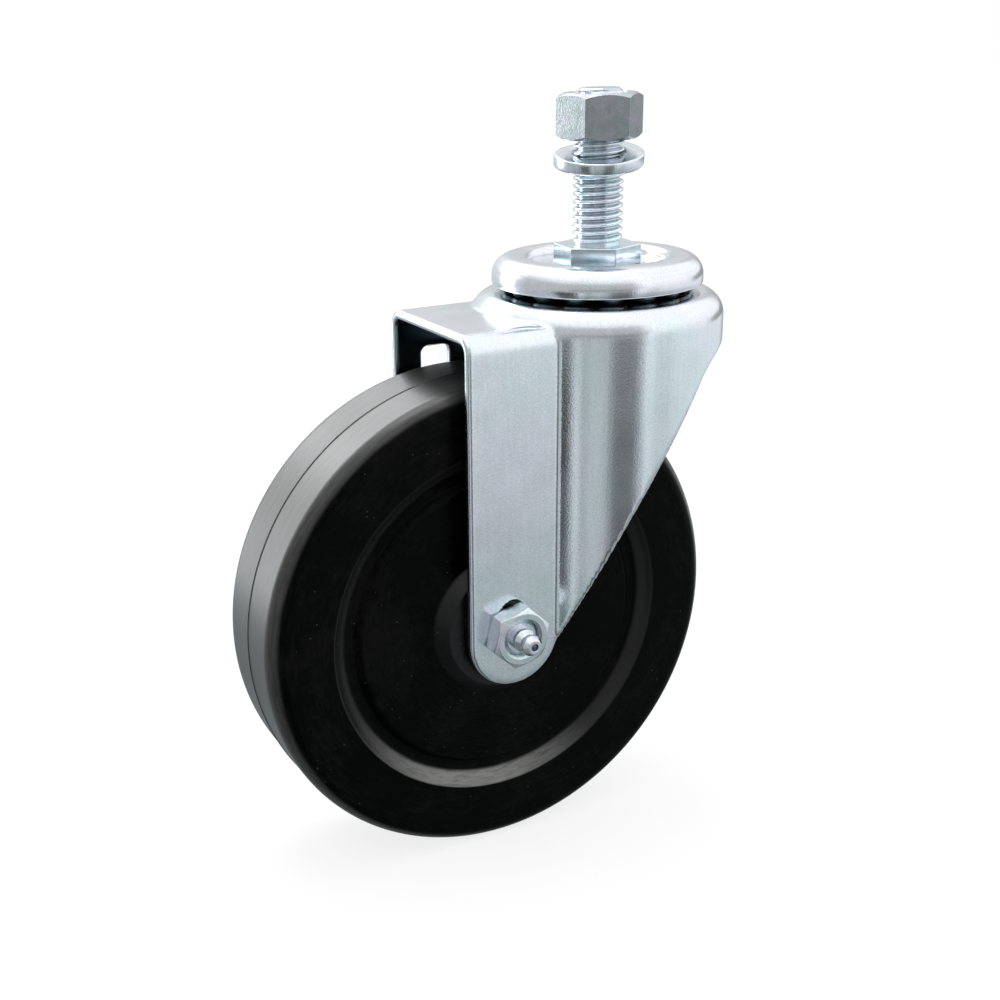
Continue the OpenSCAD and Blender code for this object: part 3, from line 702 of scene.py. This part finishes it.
# %% A Geometry Nodes tree with named sizes
class Recipe(Graph):
    def __init__(self, name):
        super().__init__(bpy.data.node_groups.new(name, "GeometryNodeTree"))
        self.tree.interface.new_socket(
            "Geometry", in_out="OUTPUT", socket_type="NodeSocketGeometry"
        )
        self.given = self.tree.nodes.new("NodeGroupInput")
        self.sizes = {}

    def size(self, name, value):
        kind = "NodeSocketInt" if isinstance(value, int) else "NodeSocketFloat"
        socket = self.tree.interface.new_socket(name, in_out="INPUT", socket_type=kind)
        self.sizes[socket.identifier] = value
        return Value(self, self.given.outputs[name])

    def cook(self, name, geometry, material):
        """Runs the tree once and returns its result as a plain mesh."""
        whole = self.add("GeometryNodeRealizeInstances", {}, {"Geometry": geometry})
        whole = self.add("GeometryNodeSetMaterial", {}, {"Geometry": whole, "Material": material})
        end = self.tree.nodes.new("NodeGroupOutput")
        self.feed(end.inputs[0], whole)
        pot = bpy.data.objects.new(name + "_pot", bpy.data.meshes.new(name + "_pot"))
        bpy.context.scene.collection.objects.link(pot)
        step = pot.modifiers.new("recipe", "NODES")
        step.node_group = self.tree
        for identifier, value in self.sizes.items():
            step[identifier] = value
        cooked = pot.evaluated_get(bpy.context.evaluated_depsgraph_get())
        mesh = bpy.data.meshes.new_from_object(cooked)
        bpy.data.objects.remove(pot)
        mesh.name = name
        print(f"{name}: {len(self.tree.nodes)} nodes gave {len(mesh.polygons)} faces")
        return mesh


# %% [markdown]
# ## The thread
#
# The real thread is rolled: the bar is squeezed between ribbed dies, which leaves
# round crests and round roots. A coil laid on a bar looks stuck on. This recipe
# takes a finely divided cylinder and moves every point in or out by a rule of
# its angle and height, so crest, flank and root are one skin. The rule fades
# where the thread runs out above the collar, and a cone trims the stem's end.


# %% Roll the thread
STEM_R, STEM_LEN, PITCH = 6.35, 38.1, 1.954


def rolled_thread():
    roll = Recipe("rolled_thread")
    radius = roll.size("Crest radius", STEM_R * MM)
    length = roll.size("Length", STEM_LEN * MM)
    pitch = roll.size("Pitch", PITCH * MM)
    depth = roll.size("Thread depth", 1.12 * MM)
    runout = roll.size("Plain length at the collar", 0.1 * MM)
    chamfer = roll.size("End chamfer", 1.5 * MM)
    bar = roll.add(
        "GeometryNodeMeshCylinder", {"fill_type": "TRIANGLE_FAN"},
        {"Vertices": 96, "Side Segments": 260, "Fill Segments": 4, "Radius": radius,
         "Depth": length},
    )
    x, y, z = roll.parts(roll.add("GeometryNodeInputPosition"))
    height = z + length * 0.5
    turn = y.maths("ARCTAN2", x) / (2 * pi)
    phase = (height / pitch - turn).maths("FRACT")
    tooth = (phase * 2 - 1).maths("ABSOLUTE")
    crest = roll.fade(tooth, 0.10, 0.86)
    started = roll.fade(height, runout, runout + pitch * 0.6)
    rule = radius - depth * (1 - crest) * started - depth * 0.6 * (1 - started)
    cone = radius - roll.most(height - length + chamfer, 0.0) * 1.05
    reach = roll.least(rule, cone) / radius
    rolled = roll.add(
        "GeometryNodeSetPosition", {},
        {"Geometry": bar, "Position": roll.vector(x * reach, y * reach, height)},
    )
    return roll.cook("thread", rolled, stem_zinc)


thread = rolled_thread()
thread.polygons.foreach_set("use_smooth", [True] * len(thread.polygons))
thread.set_sharp_from_angle(angle=radians(50))

# %% [markdown]
# The collar and the kingpin are one piece with the stem. The collar is a plain
# hexagon with crisp edges, so its bevel is thin. The kingpin ends in a head that
# was peened over cold: a low dome with a slightly flattened top.

# %% Join thread, collar and kingpin
COLLAR_AF, COLLAR_H, COLLAR_TURN = 19.4, 4.9, 22


def hexagon_mesh(name, across, low, high, turn, width):
    shape = bmesh.new()
    corner = across / sqrt(3)
    rims = [
        [shape.verts.new(Vector((
            corner * cos(radians(turn + 60 * i)), corner * sin(radians(turn + 60 * i)), z
        )) * MM) for i in range(6)]
        for z in (low, high)
    ]
    shape.faces.new(rims[0][::-1])
    shape.faces.new(rims[1])
    for i in range(6):
        j = (i + 1) % 6
        shape.faces.new((rims[0][i], rims[0][j], rims[1][j], rims[1][i]))
    bmesh.ops.bevel(
        shape, geom=shape.edges[:], offset=width * MM, segments=3, profile=0.5, affect="EDGES"
    )
    for face in shape.faces:
        face.smooth = True
    mesh = bpy.data.meshes.new(name)
    shape.to_mesh(mesh)
    shape.free()
    weigh_normals(mesh)
    return mesh


collar = hexagon_mesh("collar", COLLAR_AF, -COLLAR_H, 0, COLLAR_TURN, 0.22)
kingpin = tidy(turned_mesh("kingpin", eased([
    (0, -4.0, 0), (7.0, -4.0, 0), (7.0, -16.7, 0), (6.0, -16.7, 0), (6.0, -18.9, 0),
    (8.5, -18.9, 0), (8.5, -20.1, 0.5), (5.2, -21.5, 2.5), (0, -21.9, 0),
]), 96))
piece("stem_rod", joined("stem_rod", thread, collar, kingpin), stem_zinc, "stem_body",
      ["stem"])

# %% [markdown]
# ## Nuts, bolt and split washer
#
# The nuts are cold formed and tumbled, so their edges are rounder than a turned
# part's. The washer is square wire wound one turn and cut; it hangs tilted, as
# in the photograph, with its ends sprung a little apart.

# %% Soften the nuts and the bolt
piece("stem_nut_soft", softened_mesh("stem_nut", 0.30), stem_nut_zinc, "nut_body",
      ["stem_nut"])
piece("axle_nut_soft", softened_mesh("axle_nut", 0.22), nut_zinc, "fork_body",
      ["axle_nut"])
piece("axle_bolt_soft", softened_mesh("axle_bolt", 0.2), nut_zinc, "fork_body",
      ["axle_bolt"])


# %% Wind the split washer
WASHER_BORE, WASHER_OUT, WASHER_THICK = 13.5, 22.6, 3.1
WASHER_RISE, WASHER_SPLIT, WASHER_STEPS = 1.2, 1.2, 120
WASHER_Z, WASHER_TILT, WASHER_LOW_SIDE = 21.1, 10, -114


def wound_washer():
    thick = WASHER_THICK
    mean, half = (WASHER_BORE + WASHER_OUT) / 4, (WASHER_OUT - WASHER_BORE) / 4
    gap = degrees(WASHER_SPLIT / 2 / mean)
    section = eased([
        (-half, -thick / 2, 0.35), (half, -thick / 2, 0.55),
        (half, thick / 2, 0.55), (-half, thick / 2, 0.35),
    ], 4)
    shape = bmesh.new()
    turn = (
        Matrix.Translation((0, 0, WASHER_Z)) @ Matrix.Rotation(radians(WASHER_LOW_SIDE), 4, "Z")
        @ Matrix.Rotation(radians(WASHER_TILT), 4, "Y") @ Matrix.Rotation(pi, 4, "Z")
    )
    rings = []
    for i in range(WASHER_STEPS + 1):
        share = i / WASHER_STEPS
        angle = radians(gap + share * (360 - 2 * gap))
        lift = (share - 0.5) * WASHER_RISE
        rings.append([
            shape.verts.new(turn @ Vector((
                (mean + u) * cos(angle), (mean + u) * sin(angle), v + lift)) * MM)
            for u, v in section
        ])
    for near, far in zip(rings, rings[1:]):
        for j in range(len(section)):
            k = (j + 1) % len(section)
            shape.faces.new((near[j], far[j], far[k], near[k]))
    shape.faces.new(rings[0])
    shape.faces.new(rings[-1][::-1])
    mesh = bpy.data.meshes.new("split_washer")
    shape.to_mesh(mesh)
    shape.free()
    return tidy(mesh, 40)


piece("split_washer", wound_washer(), nut_zinc, "washer_body", ["lock_washer"])

# %% [markdown]
# ## Grease nipple
#
# A small turned piece pressed into the bolt's end: a base, a neck, and a round
# head that the grease gun snaps on to, with a sprung ball just inside its mouth.

# %% Turn the nipple
BOLT_END = 26.31
piece("nipple_turned", tidy(turned_mesh("nipple_turned", eased([
    (0.96, BOLT_END, 0), (1.34, BOLT_END, 0), (1.34, BOLT_END + 6.3, 0),
    (0.96, BOLT_END + 6.3, 0),
    (0.96, BOLT_END + 6.8, 0.12), (1.84, BOLT_END + 6.8, 0.2), (2.7, BOLT_END + 5.4, 0.35),
    (2.7, BOLT_END + 4.6, 0.5), (2.1, BOLT_END + 3.9, 0.4), (2.1, BOLT_END + 3.2, 0.5),
    (3.1, BOLT_END + 2.0, 0.4), (3.1, BOLT_END, 0), (2.6, BOLT_END, 0),
    (2.6, BOLT_END - 5, 0), (0.96, BOLT_END - 5, 0),
]), 64, on_axle=True)), nut_zinc, "fork_body", ["grease_nipple"])

# %% [markdown]
# ## Upper race
#
# The cap is drawn from sheet: a dished floor under the collar, a ridge, a broad
# shoulder and a rim that hides the balls. Its outline is taken from the tools
# that pressed it, arc by arc.

# %% Turn the cap
cap = (
    [(7.03, -4.9), (16.7, -4.9)]
    + arc((19.5, -4.9), 2.3, 176, 90, 12)
    + arc((22.05, -7.6), 5.0, 90, 0, 20)
    + [(27.05, -9.2), (26.93, -9.48), (26.65, -9.6), (25.1, -9.6), (24.86, -9.4)]
    + arc((20.8, -8.84), 4.04, 0, 154, 24)
    + [(16.9, -7.1), (7.03, -7.1)]
)
piece("cap", tidy(turned_mesh("cap", cap, 192), 50), cap_zinc, "stem_body",
      ["upper_race"])


# %% [markdown]
# ## Ball rows
#
# Sixteen balls sit in each row. One ball copied on to a ring of points is all a
# row needs, so a recipe makes it; the row's count, radius and height are its
# named sizes.


# %% Set the balls in their tracks
def ball_row(name, count, ball, ring, height):
    row = Recipe(name + "_recipe")
    number = row.size("Balls", count)
    ball_r = row.size("Ball radius", ball / 2 * MM)
    ring_r = row.size("Row radius", ring * MM)
    lift = row.size("Height", height * MM)
    circle = row.add("GeometryNodeMeshCircle", {}, {"Vertices": number, "Radius": ring_r})
    one = row.add(
        "GeometryNodeMeshUVSphere", {}, {"Segments": 32, "Rings": 18, "Radius": ball_r}
    )
    balls = row.add("GeometryNodeInstanceOnPoints", {}, {"Points": circle, "Instance": one})
    balls = row.add(
        "GeometryNodeTransform", {}, {"Geometry": balls, "Translation": row.vector(0.0, 0.0, lift)}
    )
    mesh = row.cook(name, balls, ball_steel)
    mesh.polygons.foreach_set("use_smooth", [True] * len(mesh.polygons))
    return mesh


UPPER_ROW, LOWER_ROW = (20.8, -8.84), (12.6, -15.6)
# the upper balls are painted dark as painted shade for the gap under the cap's rim
piece("upper_row", ball_row("upper_row", 16, 7.94, *UPPER_ROW), gap_shaded_steel, "upper_ball_set",
      ["upper_balls"])
piece("lower_row", ball_row("lower_row", 16, 4.76, *LOWER_ROW), ball_steel, "lower_ball_set",
      ["lower_balls"])

# %% [markdown]
# ## The pressed fork
#
# The fork is one sheet, 2.5 mm thick. A press draws the round crown, folds the
# bridge and legs, and lets the wings flow from the crown's cylinder into the
# flat legs. Bevels on a mesh never quite give that flow. A distance rule does:
# for any point it tells how far the outer skin is. The crown is a rounded
# cylinder, the legs and bridge are a rounded channel, and a smooth minimum melts
# the two together, as the press does. The sheet is simply every point less than
# 2.5 mm inside that skin, so it is equally thick all over.


# %% The rules that shape a pressed sheet
def round_box(rules, u, v, radius):
    """Distance to a corner of the given radius; u and v count from its middle."""
    inside = rules.least(rules.most(u, v), 0.0)
    return inside + rules.length(rules.most(u, 0.0), rules.most(v, 0.0)) - radius


def round_cut(rules, a, b, radius):
    """What lies inside both, with the edge between them rounded."""
    inside = rules.least(rules.most(a, b), -radius)
    return inside + rules.length(rules.most(a + radius, 0.0), rules.most(b + radius, 0.0))


CROWN_R, CROWN_TOP, CROWN_EDGE = 32.5, -11.6, 6.0
LEG_OUT, BRIDGE_TOP, BEND_R, MELT = 21.75, -15.0, 4.6, 0.4


def fork_skin(rules, x, y, z):
    """Distance, in mm, to the fork's outer skin: crown and legs melted together."""
    beyond, over = CROWN_R - CROWN_EDGE, CROWN_TOP - CROWN_EDGE
    crown = round_box(rules, rules.length(x, y) - beyond, z - over, CROWN_EDGE)
    beside, above = LEG_OUT - BEND_R, BRIDGE_TOP - BEND_R
    channel = round_box(rules, y.maths("ABSOLUTE") - beside, z - above, BEND_R)
    return crown.maths("SMOOTH_MIN", rules.most(channel, x), MELT)


# %% [markdown]
# Hardly any light reaches the sheet's inner face and the ball track, so the
# fork's zinc is painted dimmer there, by the same rule that shapes the sheet.


# %% Mix the fork's zinc
def hidden_side(paint, x, y, z):
    """Nearly 1 on the sheet's inner face, and about half in the ball track."""
    x, y, z = x * 1000, y * 1000, z * 1000
    track = paint.length(paint.length(x, y) - UPPER_ROW[0], z - UPPER_ROW[1])
    track = paint.fade(track, 4.9, 4.3, 0.0, 0.6) * paint.fade(z, -9.0, -12.2)
    return paint.most(paint.fade(fork_skin(paint, x, y, z), -1.9, -2.4, 0.0, 0.9), track)


fork_zinc = zinc_plate(
    "fork_zinc", (0.79, 0.815, 0.845), (0.755, 0.79, 0.815), 0.17, 0.34, 26.0, hidden_side
)
print("fork zinc:", len(fork_zinc.node_tree.nodes), "nodes")


# %% [markdown]
# The tracks for both rows of balls are pressed into the crown. Each is a groove
# in the sheet, and the sheet swells out on the other side of it.


# %% Press the tracks into the crown
SHEET, UPPER_TRACK, LOWER_TRACK, PIN_HOLE = 2.5, 4.04, 2.45, 9.15
SWELL_BELOW, SWELL_WITHIN, SWELL_ABOVE = -14.0, 27.0, -11.7


def press_tracks(press, shell, out, z):
    upper = press.length(out - UPPER_ROW[0], z - UPPER_ROW[1])
    lower = press.length(out - LOWER_ROW[0], z - LOWER_ROW[1])
    swell = press.most(upper - (UPPER_TRACK + SHEET), z - SWELL_BELOW)
    shell = press.least(shell, press.most(swell, out - SWELL_WITHIN))
    shell = press.most(shell, UPPER_TRACK - upper)
    swell = press.most(lower - (LOWER_TRACK + SHEET), -(z - SWELL_ABOVE))
    shell = press.least(shell, press.most(swell, LOWER_TRACK - lower))
    shell = press.most(shell, LOWER_TRACK - lower)
    return press.most(shell, PIN_HOLE - out)


# %% [markdown]
# Seen from the side, the fork ends in a straight rear edge, a round end about
# the axle, and a long, slightly hollow sweep up to the crown. The sweep is part
# of a large circle that touches the round end and passes the crown's low corner.


# %% Draw the fork's side outline
LEG_END, LEG_END_R = Vector((-36.2, -94.4)), 12.8
LOW_CORNER, SWEEP_R, CORNER_R = Vector((17.2, -25.2)), 300.0, 6.0


def sweep_middle():
    """Middle of the circle that passes the low corner and touches the leg's round end."""
    span = LOW_CORNER - LEG_END
    d = span.length
    u = span / d
    reach = SWEEP_R + LEG_END_R
    along = (reach ** 2 - SWEEP_R ** 2 + d * d) / (2 * d)
    aside = sqrt(reach ** 2 - along ** 2)
    return LEG_END + along * u + aside * Vector((u.y, -u.x))


def side_outline(press, x, z, rear):
    centre = sweep_middle()
    lean = (centre - LEG_END).normalized()
    ahead = (x - LEG_END.x) * -lean.y + (z - LEG_END.y) * lean.x
    sweep = SWEEP_R - press.length(x - centre.x, z - centre.y)
    below = -(z - LOW_CORNER.y)
    clear = round_cut(press, -sweep, -below, CORNER_R)
    body = press.most(press.most(-clear, -ahead), rear - x)
    heel = press.most(press.most(rear - x, x - LEG_END.x), -(z - LEG_END.y))
    foot = press.length(x - LEG_END.x, z - LEG_END.y) - LEG_END_R
    return press.least(press.least(body, heel), foot)


print("sweep turns about", [round(v, 1) for v in sweep_middle()])


# %% [markdown]
# Each leg has a round hole for the bolt with a crescent over it, and the far leg
# has a rounded window. The rule that joins them is cut from the sheet.


# %% Punch the holes
BORE_R, NOTCH_R, NOTCH_UP = 4.92, 3.2, 4.9
WINDOW_Z, WINDOW_HALF, WINDOW_CORNER = -30.5, (4.0, 4.5), 1.5


def punch_holes(press, x, y, z):
    bore = press.length(x - AXLE.x, z - AXLE.z) - BORE_R
    notch = press.length(x - AXLE.x, z - (AXLE.z + NOTCH_UP)) - NOTCH_R
    beside, above = [half - WINDOW_CORNER for half in WINDOW_HALF]
    window = round_box(
        press, (x - AXLE.x).maths("ABSOLUTE") - beside, (z - WINDOW_Z).maths("ABSOLUTE") - above,
        WINDOW_CORNER,
    )
    return press.least(press.least(bore, notch), press.most(window, -y))


# %% [markdown]
# The side outline and the holes are cut from the sheet with soft edges. A volume
# takes the rule's values, and Volume to Mesh draws the skin where they are zero.
# One round of smoothing calms the small steps that the volume's grid leaves.


# %% Press the fork
CUT_EDGE, HOLE_EDGE, VOXEL = 0.8, 0.6, 0.575
PRESS_LOW, PRESS_HIGH = Vector((-50.2, -33.7, -108.4)), Vector((33.7, 33.7, -10.4))


def press_fork():
    press = Recipe("press_fork")
    sheet = press.size("Sheet", SHEET)
    rear = press.size("Rear edge", -49.0)
    place = press.add("GeometryNodeInputPosition")
    x, y, z = [part * 1000 for part in press.parts(place)]
    skin = fork_skin(press, x, y, z)
    shell = press.most(skin, -(skin + sheet))
    shell = press_tracks(press, shell, press.length(x, y), z)
    shell = round_cut(press, shell, side_outline(press, x, z, rear), CUT_EDGE)
    shell = round_cut(press, shell, -punch_holes(press, x, y, z), HOLE_EDGE)

    counts = [round((b - a) / VOXEL) for a, b in zip(PRESS_LOW, PRESS_HIGH)]
    volume = press.add("GeometryNodeVolumeCube", {}, {
        "Density": -shell, "Background": -1.0, "Min": PRESS_LOW * MM, "Max": PRESS_HIGH * MM,
        "Resolution X": counts[0], "Resolution Y": counts[1], "Resolution Z": counts[2],
    })
    mesh = press.add(
        "GeometryNodeVolumeToMesh", {"resolution_mode": "GRID"},
        {"Volume": volume, "Threshold": 0.0},
    )
    calm = press.add(
        "GeometryNodeBlurAttribute", {"data_type": "FLOAT_VECTOR"},
        {"Value": place, "Iterations": 1},
    )
    mesh = press.add("GeometryNodeSetPosition", {}, {"Geometry": mesh, "Position": calm})
    print("fork grid:", counts)
    return press.cook("pressed_fork", mesh, fork_zinc)


fork_mesh = press_fork()
fork_mesh.polygons.foreach_set("use_smooth", [True] * len(fork_mesh.polygons))
piece("pressed_fork", fork_mesh, fork_zinc, "fork_body", ["fork"])

# %% [markdown]
# ## The wheel
#
# The wheel comes out of a two-part mould, which leaves a hair of a seam round
# the middle of the tread. Its outline runs over the shoulder, down into a hollow
# groove, up on to the flat web, and up the cone of the hub.

# %% Turn the wheel
WHEEL_R, HALF_W = 63.5, 15.875
GROOVE_R, GROOVE_W, GROOVE_DEPTH, GROOVE_CURVE = 46.3, 7.7, 3.0, 6.0
WEB, FLOOR = HALF_W - 0.9, HALF_W - GROOVE_DEPTH
floor_r = GROOVE_R - sqrt(GROOVE_CURVE ** 2 - (GROOVE_CURVE - GROOVE_DEPTH) ** 2)
TREAD_R, SHOULDER = WHEEL_R - 0.2, 4.5
half_wheel = (
    [(WHEEL_R, 0.12), (TREAD_R, 0.3)]
    + arc((TREAD_R - SHOULDER, HALF_W - SHOULDER), SHOULDER, 0, 90, 14)
    + [(GROOVE_R + 0.5, HALF_W), (GROOVE_R + 0.16, HALF_W - 0.06)]
    + [(GROOVE_R - 0.08, HALF_W - 0.3)]
    + arc((floor_r, FLOOR + GROOVE_CURVE), GROOVE_CURVE, -32, -90, 10)
    + eased([
        (floor_r, FLOOR, 0), (GROOVE_R - GROOVE_W + 1.6, FLOOR, 0.6),
        (GROOVE_R - GROOVE_W, WEB, 0.8), (19.3, WEB, 0.5), (17.1, 17.3, 0.6),
        (16.2, 18.2, 0.5), (12.07, 18.2, 0.2), (12.07, 14.7, 0),
    ])
    + [(13.4, 14.7)]
)
wheel_outline = half_wheel + [(r, -h) for r, h in reversed(half_wheel)]
tyre = tidy(turned_mesh("tyre", wheel_outline, 240, on_axle=True), 60)
weigh_normals(tyre)
piece("tyre", tyre, rubber, "wheel_body", ["wheel"])

# %% [markdown]
# ## Pieces that keep their CAD shape
#
# Bushing, thrust washers, cage, rollers, cup, lower race and the nipple's check
# ball and spring are already right. They only need their finish.

# %% Give the inner pieces their finish
inner = {
    "lower_race": race_steel, "thrust_washer_near": race_steel, "thrust_washer_far": race_steel,
    "roller_cage": race_steel, "spanner_bushing": ball_steel, "rollers": ball_steel,
    "bearing_cup": ball_steel, "nipple_ball": dark_steel, "nipple_spring": dark_steel,
}
for node, metal in inner.items():
    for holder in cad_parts[node].material_slots:
        holder.material = metal
print("finished in place:", ", ".join(inner))
